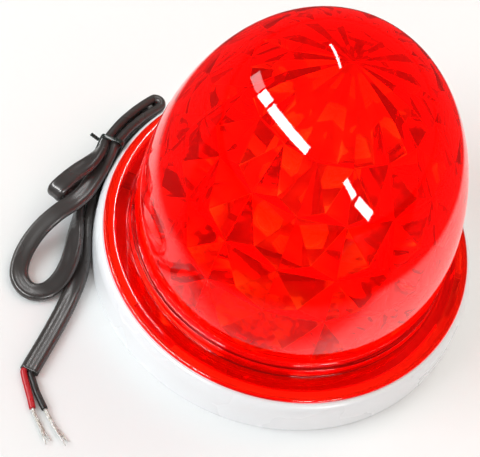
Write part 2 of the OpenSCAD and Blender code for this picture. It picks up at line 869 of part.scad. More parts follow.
module cable_grommet() {
    color([0.12, 0.12, 0.13]) difference() {
        union() {
            flat_bar(-grommet_face, -grommet_seat, grommet_grow);
            flat_bar(-grommet_seat, -inner_r + over, neck_grow);
        }
        flat_bar(-base_r - 2, -inner_r + 2, fit_gap);
    }
}

module cable_clamp() {
    z = exit_z + cable_t / 2;
    color("black") difference() {
        translate([clamp_x - clamp_l / 2, -clamp_screw_y - clamp_end, z]) {
            cube([clamp_l, 2 * (clamp_screw_y + clamp_end), clamp_t]);
        }
        for (side = [-1, 1]) {
            peg(clamp_x, side * clamp_screw_y, z - over, z + clamp_t + over, clamp_screw_d / 2 + hole_gap);
        }
    }
}

module clamp_screws() {
    z = exit_z + cable_t / 2 + clamp_t;
    color("silver") for (side = [-1, 1]) {
        translate([clamp_x, side * clamp_screw_y, 0]) pan_screw(z, clamp_screw_d, clamp_t + clamp_grip);
    }
}

module inner_sheath() {
    color([0.1, 0.1, 0.11]) flat_bar(-grommet_face + fit_gap, sheath_end_x, 0);
}

module inner_red_core() {
    color("crimson") wire(red_inner_run, core_d, 2);
}

module inner_black_core() {
    color([0.14, 0.14, 0.15]) wire([for (q = red_inner_run) [q[0], -q[1], q[2]]], core_d, 2);
}

module cable_sheath() {
    color([0.1, 0.1, 0.11]) tube(cable_rings);
}

module red_core() {
    color("crimson") wire(red_run, core_d, 2);
}

module black_core() {
    color([0.14, 0.14, 0.15]) wire(black_run, core_d, 2);
}

module red_strands() {
    color("silver") wire(red_tip_run, strand_d, 2);
}

module black_strands() {
    color("silver") wire(black_tip_run, strand_d, 2);
}

// Tie round the four strands, close on their two rows, with its twisted ends on top
tie_gap = 0.3;
tie_round = 1.2;
low_out = low_row[0] - cable_t / 2 - tie_gap;
low_in = low_row[1] + cable_t / 2 + tie_gap / 2;
row_top = lower_z + cable_w / 2;
row_foot = upper_z - cable_w / 2;
lean_x = cable_w / 2 * sin(hank_lean);
high_out = high_row[0] - cable_t / 2 + lean_x - tie_gap;
high_in = high_row[1] + cable_t / 2 + lean_x + tie_gap;
tie_foot = lower_z - cable_w / 2 - tie_gap;
tie_top = upper_z + cable_w / 2 + tie_gap;
function tie_corner(x, z, start) = quarter(x, z, tie_round, tie_round, start, start + 90, 5);
function tie_line(grow) = concat(
    tie_corner(low_out - grow + tie_round, tie_foot - grow + tie_round, -180),
    tie_corner(low_in + grow - tie_round, tie_foot - grow + tie_round, -90),
    [[low_in + grow, row_top], [high_in - 2 * lean_x - tie_gap / 2 + grow, row_foot]],
    tie_corner(high_in + grow - tie_round, tie_top + grow - tie_round, 0),
    tie_corner(high_out - grow + tie_round, tie_top + grow - tie_round, 90),
    [[low_out - grow, row_top]]
);

module cable_tie() {
    color([0.13, 0.16, 0.15]) {
        difference() {
            translate([0, tie_y + tie_w / 2, 0]) {
                rotate([90, 0, 0]) linear_extrude(tie_w) polygon(tie_line(tie_t));
            }
            translate([0, tie_y + tie_w, 0]) rotate([90, 0, 0]) linear_extrude(2 * tie_w) polygon(tie_line(0));
        }
        translate([mix(low_out, high_out, 0.7) - tie_t + 0.1, tie_y, mix(row_top, tie_top, 0.7)]) {
            rotate([0, -62, 0]) cylinder(d = 1.1, h = 3, $fn = 24);
        }
    }
}

base_housing();
lens_gasket();
lens_dome();
main_board();
board_screws();
reflector_deck();
column_core();
strip_boards();
side_leds();
cap_board();
cap_leds();
smoothing_capacitor();
rectifier_diodes();
flasher_chip();
chip_pins();
drive_transistor();
resistors();
terminal_block();
terminal_screws();
cable_grommet();
cable_clamp();
clamp_screws();
inner_sheath();
inner_red_core();
inner_black_core();
cable_sheath();
red_core();
black_core();
red_strands();
black_strands();
cable_tie();
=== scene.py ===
import math

import bmesh
import bpy
from mathutils import Matrix, Vector


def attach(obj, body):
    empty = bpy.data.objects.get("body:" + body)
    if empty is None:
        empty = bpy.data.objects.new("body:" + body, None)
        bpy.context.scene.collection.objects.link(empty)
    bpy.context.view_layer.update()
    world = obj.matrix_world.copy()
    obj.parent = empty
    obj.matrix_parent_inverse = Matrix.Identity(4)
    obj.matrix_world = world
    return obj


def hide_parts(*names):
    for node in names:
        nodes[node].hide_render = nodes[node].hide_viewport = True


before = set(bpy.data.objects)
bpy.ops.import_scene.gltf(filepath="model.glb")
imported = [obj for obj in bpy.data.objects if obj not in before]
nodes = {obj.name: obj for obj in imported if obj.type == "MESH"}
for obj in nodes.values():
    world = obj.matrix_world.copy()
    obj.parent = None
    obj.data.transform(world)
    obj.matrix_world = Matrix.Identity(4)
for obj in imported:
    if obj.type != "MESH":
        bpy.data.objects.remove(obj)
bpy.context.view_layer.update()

mm = 0.001
scene = bpy.context.scene
print("frame loaded, nodes:", len(nodes))

# Camera, at the photograph's angle
cameraSet = {
    "place": (0, -208.37, 328.998),
    "target": (-12.849, 0, 6.395),
    "rollDeg": 17.82,
    "lens": 105,
    "sensor": 36,
    "clipStart": 0.01,
}


def addCamera():
    place = Vector(cameraSet["place"]) * mm
    forward = (Vector(cameraSet["target"]) * mm - place).normalized()
    level = forward.cross(Vector((0, 0, 1))).normalized()
    upright = level.cross(forward)
    roll = math.radians(cameraSet["rollDeg"])
    right = level * math.cos(roll) + upright * math.sin(roll)
    up = upright * math.cos(roll) - level * math.sin(roll)
    data = bpy.data.cameras.new("camera")
    data.lens = cameraSet["lens"]
    data.sensor_width = cameraSet["sensor"]
    data.sensor_fit = "HORIZONTAL"
    data.clip_start = cameraSet["clipStart"]
    camera = bpy.data.objects.new("camera", data)
    turn = Matrix((right, up, -forward)).transposed().to_4x4()
    camera.matrix_world = Matrix.Translation(place) @ turn
    scene.collection.objects.link(camera)
    scene.camera = camera


addCamera()
print("camera placed")


# Part of the noise's span that a finish uses
noiseRange = {
    "roughLow": 0.3,
    "roughHigh": 0.7,
    "colourLow": 0.35,
    "colourHigh": 0.65,
}


# Small helpers; colours are written as 0 to 255
def srgb(red, green, blue):
    out = []
    for value in (red, green, blue):
        part = value / 255
        out.append(part / 12.92 if part <= 0.04045 else ((part + 0.055) / 1.055) ** 2.4)
    return (*out, 1)


def newMaterial(name, colour, roughness, **sockets):
    material = bpy.data.materials.new(name)
    material.use_nodes = True
    shader = material.node_tree.nodes["Principled BSDF"]
    shader.inputs["Base Color"].default_value = colour
    shader.inputs["Roughness"].default_value = roughness
    for socket, value in sockets.items():
        shader.inputs[socket.replace("_", " ")].default_value = value
    return material, material.node_tree, shader


def noiseOn(tree, scale, detail):
    coords = tree.nodes.new("ShaderNodeTexCoord")
    noise = tree.nodes.new("ShaderNodeTexNoise")
    noise.inputs["Scale"].default_value = scale
    noise.inputs["Detail"].default_value = detail
    tree.links.new(coords.outputs["Object"], noise.inputs["Vector"])
    return noise.outputs["Fac"]


def roughFrom(tree, shader, value, low, high):
    ramp = tree.nodes.new("ShaderNodeMapRange")
    ramp.inputs["From Min"].default_value = noiseRange["roughLow"]
    ramp.inputs["From Max"].default_value = noiseRange["roughHigh"]
    ramp.inputs["To Min"].default_value = low
    ramp.inputs["To Max"].default_value = high
    tree.links.new(value, ramp.inputs["Value"])
    tree.links.new(ramp.outputs["Result"], shader.inputs["Roughness"])


def bumpFrom(tree, shader, value, strength, distance):
    bump = tree.nodes.new("ShaderNodeBump")
    bump.inputs["Strength"].default_value = strength
    bump.inputs["Distance"].default_value = distance
    tree.links.new(value, bump.inputs["Height"])
    tree.links.new(bump.outputs["Normal"], shader.inputs["Normal"])


def colourFrom(tree, shader, value, first, second):
    ramp = tree.nodes.new("ShaderNodeValToRGB")
    ramp.color_ramp.elements[0].position = noiseRange["colourLow"]
    ramp.color_ramp.elements[0].color = first
    ramp.color_ramp.elements[1].position = noiseRange["colourHigh"]
    ramp.color_ramp.elements[1].color = second
    tree.links.new(value, ramp.inputs["Fac"])
    tree.links.new(ramp.outputs["Color"], shader.inputs["Base Color"])


def mapRange(tree, value, low, high, first, second):
    node = tree.nodes.new("ShaderNodeMapRange")
    node.interpolation_type = "SMOOTHSTEP"
    for name, number in (("From Min", low), ("From Max", high), ("To Min", first), ("To Max", second)):
        node.inputs[name].default_value = number
    tree.links.new(value, node.inputs["Value"])
    return node.outputs["Result"]


def mathOn(tree, operation, first, second):
    node = tree.nodes.new("ShaderNodeMath")
    node.operation = operation
    for socket, value in zip(node.inputs, (first, second)):
        if isinstance(value, (int, float)):
            socket.default_value = value
        else:
            tree.links.new(value, socket)
    return node.outputs["Value"]


def newPiece(name, shape, material, body, sharpDeg=35):  # edges over sharpDeg stay sharp
    for edge in shape.edges:
        edge.smooth = edge.calc_face_angle(0) < math.radians(sharpDeg)
    mesh = bpy.data.meshes.new(name)
    shape.to_mesh(mesh)
    shape.free()
    piece = bpy.data.objects.new(name, mesh)
    scene.collection.objects.link(piece)
    mesh.materials.append(material)
    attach(piece, body)
    return piece


# Smooth curve from b to c, with the points before and after them
def through(a, b, c, d, s):
    second = (2 * a - 5 * b + 4 * c - d) * s * s
    return 0.5 * (2 * b + (c - a) * s + second + (3 * b - a - 3 * c + d) * s ** 3)


def smoothRun(points, steps):
    points = [Vector(point) for point in points]
    last = len(points) - 1
    run = []
    for index in range(last):
        before = points[index - 1] if index else 2 * points[0] - points[1]
        after = points[index + 2] if index + 2 <= last else 2 * points[last] - points[last - 1]
        for step in range(steps):
            run.append(through(before, points[index], points[index + 1], after, step / steps))
    run.append(points[last])
    return run


def sweep(shape, places, sides, section, grow=None):
    rings = []
    last = len(places) - 1
    for index, place in enumerate(places):
        travel = (places[min(index + 1, last)] - places[max(index - 1, 0)]).normalized()
        wide = (sides[index] - sides[index].dot(travel) * travel).normalized()
        thin = travel.cross(wide)
        scale = grow(index / last) if grow else 1
        rings.append([shape.verts.new(place + (wide * x + thin * y) * scale) for x, y in section])
    for first, second in zip(rings, rings[1:]):
        for index in range(len(section)):
            after = (index + 1) % len(section)
            face = shape.faces.new((first[index], first[after], second[after], second[index]))
            face.smooth = True
    shape.faces.new(rings[0][::-1])
    shape.faces.new(rings[-1])


def roundSection(radius, sides):
    turns = [math.tau * k / sides for k in range(sides)]
    return [(radius * math.cos(turn), radius * math.sin(turn)) for turn in turns]


# Flat two-core lead, on the route of the solid: x, y, z, direction of the flat side, tip from level
lead = {
    "width": 5.0,
    "thickness": 2.4,
    "groove": 0.07,  # the sheath dips a little between its cores
    "grooveEdge": 0.01,
    "shoulder": 0.03,
    "sectionStep": 18,  # degrees between the points of its rounded sides
    "steps": 5,  # from one point of the route to the next
    "strandGap": 0.5,
    "tieDeg": 172.2,
    "turnStep": 5,
    "hairpin": 1.7,  # centre line of the hank's turns
    "hairpinStep": 45,
    # azimuth, distance from the lens axis, height at the tie and at the turn, side, tip
    "upperTurn": (151, 53.6, 11.3, 8.9, 0, 82),
    "lowerTurn": (153, 54.35, 3.2, 2.75, 180, -90),
}
exitRun = [
    (-52.1, 0, 6.9, -90, 0),
    (-53.4, 0, 6.9, -90, 0),
    (-54.6, 0, 6.9, -90, 0),
    (-56.6, -0.9, 6.9, -72, 0),
    (-58.1, -2.9, 6.9, -48, 0),
    (-59.5, -5.4, 6.9, -32, 0),
    (-60.8, -8, 6.9, -26, 0),
    (-61.8, -10.4, 7, -22, 0),
    (-62.4, -12, 8.4, -20, 0),
    (-62.3, -11.8, 10.3, -20, 0),
    (-61.5, -10.2, 11.4, -22, 2),
    (-60.3, -7.8, 12.1, -24, 4),
    (-58.9, -5.2, 12.7, -24, 8),
    (-57.4, -2.4, 13, -20, 18),
    (-56.4, 1, 12.7, -12, 42),
    (-56, 4.4, 12, -4, 66),
    (-55.95, 7.4, 11.3, 0, 82),
]
loopRun = [
    (-53.05, 7.4, 11.3, 0, 82),
    (-53.25, 4.4, 11, 0, 70),
    (-53.7, 1.2, 10.7, -4, 46),
    (-54.2, -2.2, 10.4, -12, 20),
    (-54.7, -6, 10.2, -22, 6),
    (-55.4, -9.8, 10, -28, 0),
    (-57, -13.4, 9.7, -30, 0),
    (-59.4, -17, 8.8, -32, 0),
    (-61.6, -20.7, 7, -28, 0),
    (-63.1, -24.5, 5.2, -22, 0),
    (-63.9, -28.6, 3.4, -10, 0),
    (-63.7, -32.5, 2.1, 5, 0),
    (-62.5, -35.7, 1.5, 30, 0),
    (-60, -37.9, 1.4, 70, 0),
    (-57, -38.3, 1.4, 105, 0),
    (-54, -36.4, 1.8, 140, 0),
    (-52.2, -32.8, 3, 160, 0),
    (-51.7, -28.4, 4.2, 172, -4),
    (-52.3, -23.6, 4.6, 182, -16),
    (-53.6, -18.6, 4.2, 190, -42),
    (-55, -13.6, 3.3, 192, -70),
    (-56.1, -8.4, 2.8, 188, -86),
    (-56.6, -3, 2.7, 184, -90),
    (-56.8, 2.6, 2.75, 180, -90),
    (-56.75, 7.4, 3.2, 180, -90),
]
tailRun = [
    (-53.85, 7.4, 3.2, 180, -90),
    (-53.9, 2.6, 2.75, 180, -90),
    (-53.8, -3, 2.7, 183, -90),
    (-53.2, -8.4, 2.7, 189, -88),
    (-52.2, -13.6, 2.7, 195, -80),
    (-50.7, -18.9, 2.6, 199, -66),
    (-49.1, -24.2, 2.3, 200, -46),
    (-48.2, -29.2, 1.85, 194, -20),
    (-47.9, -34.8, 1.5, 184, -4),
    (-48, -42, 1.35, 180, 0),
    (-48.5, -50, 1.3, 177, 0),
    (-49.1, -57, 1.3, 176, 0),
    (-49.3, -60, 1.3, 176, 0),
]


# Two strands from the tie to a hairpin and back, along the curve of the base
def hankTurn(azimuth, near, tieHeight, endHeight, side, tip):
    bulb = lead["hairpin"]
    count = round((lead["tieDeg"] - azimuth) / lead["turnStep"])
    far = near + 2 * bulb
    pair = near + lead["thickness"] + lead["strandGap"]

    def around(radius, step, height):
        turn = math.radians(azimuth + lead["turnStep"] * step)
        return (radius * math.cos(turn), radius * math.sin(turn), height, side, tip)

    def between(first, second, step):
        return first + (second - first) * step / count

    out = []
    for k in range(count - 1, 0, -1):
        out.append(around(between(far, pair, k), k, between(endHeight, tieHeight, k)))
    outward = Vector((math.cos(math.radians(azimuth)), math.sin(math.radians(azimuth))))
    along = Vector((outward.y, -outward.x))
    bend = []
    for degrees in range(0, 181, lead["hairpinStep"]):
        reach = near + bulb + bulb * math.cos(math.radians(degrees))
        spot = outward * reach + along * bulb * math.sin(math.radians(degrees))
        bend.append((spot.x, spot.y, endHeight, side, tip))
    home = [around(near, k, between(endHeight, tieHeight, k)) for k in range(1, count)]
    return out + bend + home


def leadSection():
    half = (lead["width"] - lead["thickness"]) / 2
    radius = lead["thickness"] / 2
    turns = [math.radians(degrees) for degrees in range(-90, 91, lead["sectionStep"])]
    side = [(half + radius * math.cos(turn), radius * math.sin(turn)) for turn in turns]
    dip = radius - lead["groove"]
    edge, shoulder = dip + lead["grooveEdge"], radius - lead["shoulder"]
    middle = [(half / 2, shoulder), (half / 4, edge), (0, dip), (-half / 4, edge), (-half / 2, shoulder)]
    line = side + middle
    return [(x * mm, y * mm) for x, y in line + [(-x, -y) for x, y in line]]


def leadBlack():
    material, tree, shader = newMaterial("leadBlack", srgb(66, 60, 58), 0.26, Specular_IOR_Level=0.7)
    colourFrom(tree, shader, noiseOn(tree, 60, 2), srgb(62, 58, 57), srgb(70, 66, 64))
    roughFrom(tree, shader, noiseOn(tree, 90, 2), 0.22, 0.29)
    bumpFrom(tree, shader, noiseOn(tree, 1400, 2), 0.03, 0.00003)
    return material


def buildLead():
    route = exitRun + hankTurn(*lead["upperTurn"]) + loopRun + hankTurn(*lead["lowerTurn"]) + tailRun
    places = smoothRun([Vector(point[:3]) * mm for point in route], lead["steps"])
    angles = smoothRun([(point[3], point[4], 0) for point in route], lead["steps"])
    sides = []
    for turn, tip, spare in angles:
        turn, tip = math.radians(turn), math.radians(tip)
        sides.append(Vector((math.cos(tip) * math.cos(turn), math.cos(tip) * math.sin(turn), math.sin(tip))))
    shape = bmesh.new()
    sweep(shape, places, sides, leadSection())
    piece = newPiece("leadSheath", shape, leadBlack(), "base")
    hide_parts("cable_sheath")
    length = sum((b - a).length for a, b in zip(places, places[1:]))
    print("lead outside the base, mm:", round(length / mm, 1))
    return piece, places, length


leadPiece, leadPath, leadLength = buildLead()

# Cores and bare strands at the free end
ends = {
    "coreRadius": 0.85,
    "coreSides": 20,
    "coreSteps": 6,
    "cutFrom": 0.985,  # the insulation's cut end is a little narrower
    "cutScale": 0.93,
    "strandRadius": 0.14,
    "strandSides": 8,
    "strandSteps": 8,
    "wires": 7,
    "wireReach": 0.34,
    "splayFrom": 0.45,  # share of the length where the wires come apart
    "splayPower": 1.6,
    "highest": 0.4,
    "lowest": -0.3,
    "shortest": 0.82,
    "redTwist": 0.8,
    "blackTwist": 0.7,
    "redSplay": (1.2, 0.4, 2.2, 0.6, 1.8, 0.8),
    "blackSplay": (0.6, 1.4, 0.5, 1.9, 0.8, 1.1),
    "red": [
        (-50.6, -59.9, 1.3), (-50.55, -60.5, 1.3), (-50.3, -61, 1.25), (-49.4, -62.3, 1.1),
        (-47.8, -64.4, 0.95), (-46.1, -66.7, 0.95), (-44.5, -69, 0.95),
    ],
    "black": [
        (-48.65, -59.9, 1.3), (-48.6, -60.5, 1.3), (-48.2, -61, 1.25), (-47.05, -62.3, 1.1),
        (-45.5, -64.2, 0.95), (-43.5, -66.2, 0.95), (-41.6, -68, 0.95),
    ],
    "redTip": [
        (-44.8, -68.6, 0.95), (-43.8, -69.9, 0.9), (-42.2, -71.3, 0.8), (-39.8, -73.4, 0.7),
        (-36.6, -76.2, 0.7),
    ],
    "blackTip": [
        (-42, -67.6, 0.95), (-40.8, -68.7, 0.9), (-39.2, -70, 0.8), (-36.3, -72.1, 0.7),
        (-32.2, -74.9, 0.7),
    ],
}


def coreColour(name, colour):
    material, tree, shader = newMaterial(name, colour, 0.32)
    roughFrom(tree, shader, noiseOn(tree, 400, 3), 0.25, 0.4)
    bumpFrom(tree, shader, noiseOn(tree, 1800, 2), 0.1, 0.00005)
    return material


def tinnedCopper():
    material, tree, shader = newMaterial("tinnedCopper", srgb(226, 224, 220), 0.3, Metallic=0.45)
    colourFrom(tree, shader, noiseOn(tree, 900, 2), srgb(206, 200, 188), srgb(240, 240, 238))
    roughFrom(tree, shader, noiseOn(tree, 2000, 2), 0.2, 0.42)
    return material


def buildCore(name, points, material, node):
    shape = bmesh.new()
    places = smoothRun([Vector(point) * mm for point in points], ends["coreSteps"])
    section = roundSection(ends["coreRadius"] * mm, ends["coreSides"])

    def cutEnd(share):
        return 1 if share < ends["cutFrom"] else ends["cutScale"]

    sweep(shape, places, [Vector((0, 0, 1))] * len(places), section, cutEnd)
    piece = newPiece(name, shape, material, "base")
    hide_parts(node)
    return piece


# Thin wires round one in the middle, in a loose twist that spreads at the tip
def buildStrands(name, points, node, material, turns, spread):
    shape = bmesh.new()
    spine = smoothRun([Vector(point) * mm for point in points], ends["strandSteps"])
    section = roundSection(ends["strandRadius"] * mm, ends["strandSides"])
    last = len(spine) - 1
    middle = ends["wires"] - 1
    splay = ends["splayFrom"]
    for wire in range(ends["wires"]):
        places = []
        for index, place in enumerate(spine):
            share = index / last
            travel = (spine[min(index + 1, last)] - spine[max(index - 1, 0)]).normalized()
            side = travel.cross(Vector((0, 0, 1))).normalized()
            angle = math.tau * (wire / middle + turns * share)
            reach = 0
            if wire < middle:
                reach = (ends["wireReach"] + spread[wire] * max(0, share - splay) ** ends["splayPower"]) * mm
            lift = max(ends["lowest"] * mm, math.sin(angle) * min(reach, ends["highest"] * mm))
            lean = math.cos(math.tau * (wire / middle + turns * min(share, splay)))
            places.append(place + side * lean * reach + Vector((0, 0, lift)))
        uneven = (wire * 37) % 10 / 10
        keep = round(last * (ends["shortest"] + (1 - ends["shortest"]) * uneven)) + 1
        sweep(shape, places[:keep], [Vector((0, 0, 1))] * keep, section)
    piece = newPiece(name, shape, material, "base")
    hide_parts(node)
    return piece


tin = tinnedCopper()
coreRed = coreColour("coreRed", srgb(196, 22, 34))
coreBlack = coreColour("coreBlack", srgb(40, 38, 37))
redCore = buildCore("redCore", ends["red"], coreRed, "red_core")
blackCore = buildCore("blackCore", ends["black"], coreBlack, "black_core")
redStrands = buildStrands(
    "redStrands", ends["redTip"], "red_strands", tin, ends["redTwist"], ends["redSplay"]
)
blackStrands = buildStrands(
    "blackStrands", ends["blackTip"], "black_strands", tin, ends["blackTwist"], ends["blackSplay"]
)

# Twist tie round the hank
tie = {
    "y": 7.4,
    "width": 1.3,
    "thickness": 0.45,
    "corner": 1.2,
    "low": (-58.25, -52.5),
    "high": (-57.1, -51.2),
    "foot": 0.4,
    "rowTop": 5.7,
    "rowFoot": 8.8,
    "top": 14.1,
    "waist": -52.05,
    "twistStart": (-57.7, 7.4, 11.6),
    "twistEnd": (-60.2, 7.4, 12.9),
    "twistSteps": 24,
    "twists": 2,
    "twistRadius": 0.3,
    "wireRadius": 0.26,
    "wireSides": 10,
    "wireLean": (0, 1, 0.3),
    "rimRound": 0.16,
}


def tiePlastic():
    material, tree, shader = newMaterial(
        "tiePlastic", srgb(38, 46, 42), 0.2, Coat_Weight=0.4, Coat_Roughness=0.1
    )
    colourFrom(tree, shader, noiseOn(tree, 500, 2), srgb(28, 35, 32), srgb(58, 68, 62))
    bumpFrom(tree, shader, noiseOn(tree, 900, 2), 0.25, 0.0002)
    return material


# Outline of the tie round four strands, seen along the hank
def tieLoop(shape, grow, y):
    radius = tie["corner"]
    (lowOut, lowIn), (highOut, highIn) = tie["low"], tie["high"]
    foot, top = tie["foot"] - grow, tie["top"] + grow

    def corner(x, z, first):
        turns = [math.radians(first + 15 * step) for step in range(7)]
        return [(x + radius * math.cos(turn), z + radius * math.sin(turn)) for turn in turns]

    line = corner(lowOut - grow + radius, foot + radius, -180)
    line += corner(lowIn + grow - radius, foot + radius, -90)
    line += [(lowIn + grow, tie["rowTop"]), (tie["waist"] + grow, tie["rowFoot"])]
    line += corner(highIn + grow - radius, top - radius, 0)
    line += corner(highOut - grow + radius, top - radius, 90)
    line.append((lowOut - grow, tie["rowTop"]))
    loop = [shape.verts.new((x * mm, (tie["y"] + y) * mm, z * mm)) for x, z in line]
    return [shape.edges.new((loop[k], loop[(k + 1) % len(loop)])) for k in range(len(loop))]


def buildTie():
    shape = bmesh.new()
    outer = tieLoop(shape, tie["thickness"], -tie["width"] / 2)
    inner = tieLoop(shape, 0, -tie["width"] / 2)
    bmesh.ops.bridge_loops(shape, edges=outer + inner)
    made = bmesh.ops.extrude_face_region(shape, geom=shape.faces[:])
    moved = [item for item in made["geom"] if isinstance(item, bmesh.types.BMVert)]
    bmesh.ops.translate(shape, verts=moved, vec=(0, tie["width"] * mm, 0))
    bmesh.ops.recalc_face_normals(shape, faces=shape.faces[:])
    rims = [edge for edge in shape.edges if edge.calc_face_angle(0) > 1]
    offset = tie["rimRound"] * mm
    bmesh.ops.bevel(shape, geom=rims, offset=offset, affect="EDGES", segments=3, profile=0.5, material=-1)
    for face in shape.faces:
        face.smooth = True
    start, end = Vector(tie["twistStart"]) * mm, Vector(tie["twistEnd"]) * mm
    across = Vector((0, 1, 0))
    side = (end - start).normalized().cross(across).normalized()
    steps = tie["twistSteps"]
    section = roundSection(tie["wireRadius"] * mm, tie["wireSides"])
    for half in (0, 1):
        places = []
        for step in range(steps + 1):
            turn = math.tau * (tie["twists"] * step / steps + half / 2)
            away = (side * math.cos(turn) + across * math.sin(turn)) * tie["twistRadius"] * mm
            places.append(start.lerp(end, step / steps) + away)
        sweep(shape, places, [Vector(tie["wireLean"])] * len(places), section)
    piece = newPiece("twistTie", shape, tiePlastic(), "base", 50)
    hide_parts("cable_tie")
    return piece


tiePiece = buildTie()
print("lead, cores, strands and tie made")

# Lens: clear red plastic, smooth outside, cut in facets inside
lens = {
    "domeR": 42.65,
    "domeMid": 20.9,
    "domeRise": 69.7,
    "domeSteps": 72,
    "domeFootDeg": 3,
    "neckR": 41.2,
    "neckZ": 20,
    "bulgeZ": 22.4,
    "bulgeSteps": 10,
    "neckLine": ((0.08, 18.6), (0.25, 17.8), (0.45, 17.35), (0.8, 17.05)),  # out from neckR, height
    "stepR": 43.3,
    "stepTop": 16.9,
    "ledgeRound": 0.7,
    "ledgeIn": 0.2,
    "fillet": 0.6,
    "flangeR": 50,
    "flangeRound": 3,
    "flangeTop": 14.1,
    "flatPoints": (0.7, 1.6),  # keep the flange's top flat, out from stepR
    "flatEnd": 0.15,
    "flangeBottom": 12.4,
    "rimFoot": 0.5,
    "rimChamfer": ((0.08, 0.12), (0.3, 0)),
    "seatGap": 0.05,
    "skirtR": 46.6,
    "skirtWall": 2.4,
    "skirtBottom": 8.7,
    "hallR": 40.2,  # room over the base, inside the skirt
    "hallBottom": 11.9,
    "hallTop": 16.2,
    "footR": 37.6,
    "footZ": 18,
    "footLip": 1.1,
    "nodeWall": 4.2,  # wall where cells meet
    "cellWall": 1.7,  # wall in a cell's hollow
    "columns": 16,
    "startDeg": -89,
    "rings": (0, 0.273, 0.475, 0.683, 0.848, 0.94),  # heights where the rows meet, as shares
    "cellShare": 0.38,  # height of the hollow in its cell
    "turns": 192,
    "ridgeRound": 0.1,
    "fanWall": 2.9,  # wall at the fan's outer folds
    "lugR": 47.9,
    "lugTop": 10.4,
    "lugDeg": 15,
    "lugTurn": 20,
    "lugCount": 3,
    "lugSteps": 8,
    "lugIn": 0.3,
    "tint": (1, 0.38, 0.22, 1),
    # painted glow: the unlit lens emits faint red, standing in for light scattered inside the red plastic
    "paintedGlow": (1, 0.004, 0, 1),
    "paintedGlowStrength": 0.12,
    "depthColour": (0.996, 0.4, 0.1, 1),
    "depthDensity": 1000,
}


def domeRadius(z, wall=0):
    reach = lens["domeRise"] - wall
    return (lens["domeR"] - wall) * math.sqrt(max(0, 1 - ((z - lens["domeMid"]) / reach) ** 2))


def arcPoints(cx, cz, rx, rz, first, last, count):
    turns = [math.radians(first + (last - first) * k / count) for k in range(count + 1)]
    return [(cx + rx * math.cos(turn), cz + rz * math.sin(turn)) for turn in turns]


# Section of the lens, from the top of the dome down the outside, under the flange and up to the facets' foot
def lensProfile():
    foot, count = lens["domeFootDeg"], lens["domeSteps"]
    points = arcPoints(0, lens["domeMid"], lens["domeR"], lens["domeRise"], 90, foot, count)
    neck, bulge = lens["neckR"], domeRadius(lens["bulgeZ"])
    rise = lens["bulgeZ"] - lens["neckZ"]
    for k in range(lens["bulgeSteps"], -1, -1):
        share = k / lens["bulgeSteps"]
        wave = (1 - math.cos(math.pi * share)) / 2
        points.append((neck + (bulge - neck) * wave, lens["neckZ"] + rise * share))
    points += [(neck + out, z) for out, z in lens["neckLine"]]
    step, top, edge, fillet = lens["stepR"], lens["flangeTop"], lens["ledgeRound"], lens["fillet"]
    points += arcPoints(step - lens["ledgeIn"] - edge, lens["stepTop"] - edge, edge, edge, 90, 0, 6)
    points += [(step, top + fillet)]
    points += arcPoints(step + fillet, top + fillet, fillet, fillet, 180, 270, 8)
    points += [(step + out, top) for out in lens["flatPoints"]]
    rimStart, rimFoot = lens["flangeR"] - lens["flangeRound"], lens["flangeBottom"] + lens["rimFoot"]
    points += [(rimStart - lens["flatEnd"], top)]
    points += arcPoints(rimStart, rimFoot, lens["flangeRound"], top - rimFoot, 90, 0, 14)
    under, skirt = lens["flangeBottom"] + lens["seatGap"], lens["skirtR"]
    points += [(lens["flangeR"] - back, under + lift) for back, lift in lens["rimChamfer"]]
    inner, hall, foot = skirt - lens["skirtWall"], lens["hallR"], lens["footR"]
    points += [(skirt, under), (skirt, lens["skirtBottom"]), (inner, lens["skirtBottom"])]
    points += [(inner, lens["hallBottom"]), (hall, lens["hallBottom"]), (hall, lens["hallTop"])]
    points += [(foot, lens["hallTop"]), (foot, lens["footZ"])]
    return points


def spinProfile(shape, points, steps):
    verts = [shape.verts.new((r * mm, 0, z * mm)) for r, z in points]
    edges = [shape.edges.new(pair) for pair in zip(verts, verts[1:])]
    bmesh.ops.spin(
        shape, geom=verts + edges, cent=(0, 0, 0), axis=(0, 0, 1), angle=math.tau, steps=steps, use_merge=True
    )
    bmesh.ops.remove_doubles(shape, verts=shape.verts[:], dist=0.002 * mm)


# One column of four-sided cells, each with four facets round its hollow; buildLens repeats it
def facetColumn(shape):
    pitch = math.tau / lens["columns"]
    start = math.radians(lens["startDeg"])
    top = lens["domeMid"] + lens["domeRise"] - lens["nodeWall"]
    heights = [lens["footZ"] + (top - lens["footZ"]) * share for share in lens["rings"]]

    def corner(index, side):
        z = heights[index]
        r = domeRadius(z, lens["nodeWall"]) if index else lens["footR"] + lens["footLip"]
        turn = start + pitch * side
        return shape.verts.new((r * math.cos(turn) * mm, r * math.sin(turn) * mm, z * mm))

    rows = [(corner(index, 0), corner(index, 1)) for index in range(len(heights))]
    for index in range(len(heights) - 1):
        z = heights[index] + (heights[index + 1] - heights[index]) * lens["cellShare"]
        r = domeRadius(z, lens["cellWall"])
        turn = start + pitch / 2
        hollow = shape.verts.new((r * math.cos(turn) * mm, r * math.sin(turn) * mm, z * mm))
        (a, b), (d, c) = rows[index], rows[index + 1]
        sides = [(a, b), (b, c), (c, d), (d, a)]
        if index == len(heights) - 2:
            fold = Vector((math.cos(turn), math.sin(turn), 0)) * domeRadius(heights[-1], lens["fanWall"])
            middle = shape.verts.new((fold + Vector((0, 0, heights[-1]))) * mm)
            sides[2:3] = [(c, middle), (middle, d)]
        for first, second in sides:
            shape.faces.new((second, first, hollow))
    # the last row closes at the top
    peak = shape.verts.new((0, 0, top * mm))
    shape.faces.new((c, middle, peak))
    shape.faces.new((middle, d, peak))


